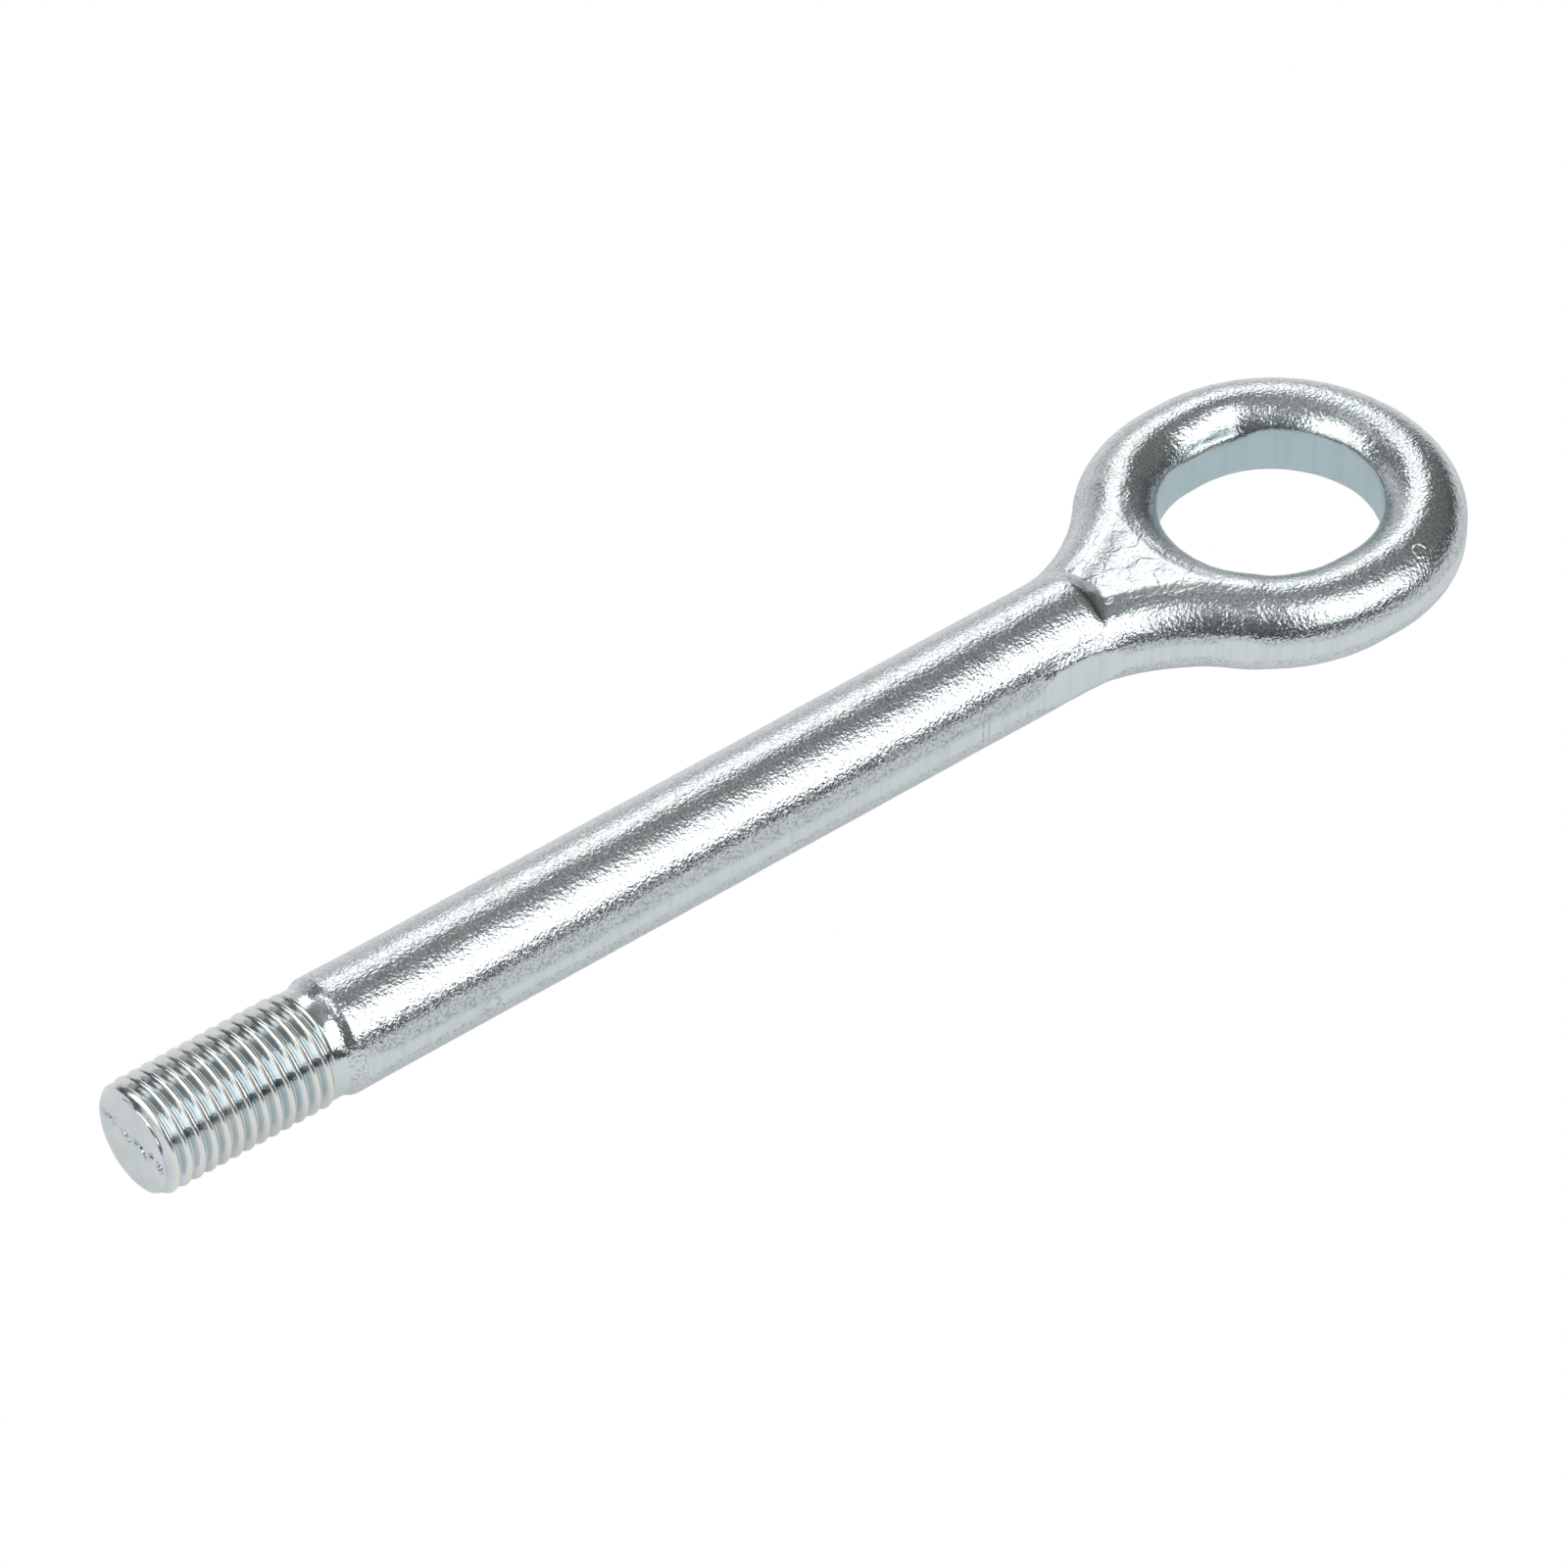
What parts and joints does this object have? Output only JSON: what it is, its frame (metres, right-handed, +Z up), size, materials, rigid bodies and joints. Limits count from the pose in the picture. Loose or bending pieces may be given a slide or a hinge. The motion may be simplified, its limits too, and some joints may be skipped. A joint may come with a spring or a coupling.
{
  "type": "tow eye",
  "caption": "Forged steel tow eye in one piece: a coarse-threaded end, a neck, a long round shank and an oval eye to hook a tow rope into.",
  "frame": {"origin": "under the middle of the part's overall box, on the surface that it lies on", "axes": "+X along the screw axis from the thread's tip to the eye, +Y across the eye, +Z up, square to the plane of the eye"},
  "size_m": [0.2146, 0.0508, 0.0164],
  "materials": {
    "zinc_plated_steel": "bright zinc plating over a forged skin, with smooth trimmed lands and a machined thread"
  },
  "bodies": {
    "root": {"tow_eye": "zinc_plated_steel"}
  },
  "joints": []
}
